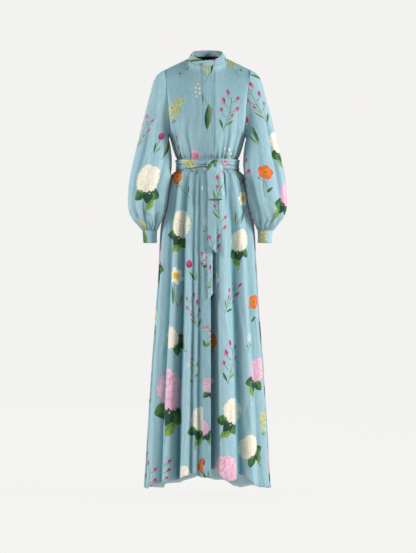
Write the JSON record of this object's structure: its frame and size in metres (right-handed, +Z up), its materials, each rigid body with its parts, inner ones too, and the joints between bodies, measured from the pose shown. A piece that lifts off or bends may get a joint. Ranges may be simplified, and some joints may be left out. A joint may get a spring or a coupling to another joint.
{
  "type": "caftan",
  "caption": "Floor-length belted caftan in its worn, hollow shape, with a stand collar, covered front placket, bishop sleeves with deep cuffs, a tied sash belt and a flared skirt.",
  "frame": {"origin": "middle of the neck, 13 mm below the inner ends of the shoulder seams, where the wearer's neck meets the shoulders", "axes": "+Z up, from hem to neck; the front faces -Y; +X is the wearer's left"},
  "size_m": [0.597, 0.4483, 1.6653],
  "materials": {
    "printed_cloth": "soft lustre",
    "belt_cloth": "soft lustre"
  },
  "bodies": {
    "root": {"bodice_front_right": "printed_cloth", "bodice_front_left": "printed_cloth", "bodice_back": "printed_cloth", "bodice_placket": "printed_cloth", "collar": "printed_cloth", "sleeve_left": "printed_cloth", "sleeve_right": "printed_cloth", "cuff_left": "printed_cloth", "cuff_right": "printed_cloth", "skirt_front_right": "printed_cloth", "skirt_front_left": "printed_cloth", "skirt_back": "printed_cloth", "skirt_placket": "printed_cloth", "belt_band": "belt_cloth", "belt_knot": "belt_cloth", "belt_loop": "belt_cloth", "belt_tail_upper": "belt_cloth", "belt_tail_lower": "belt_cloth"}
  },
  "joints": []
}
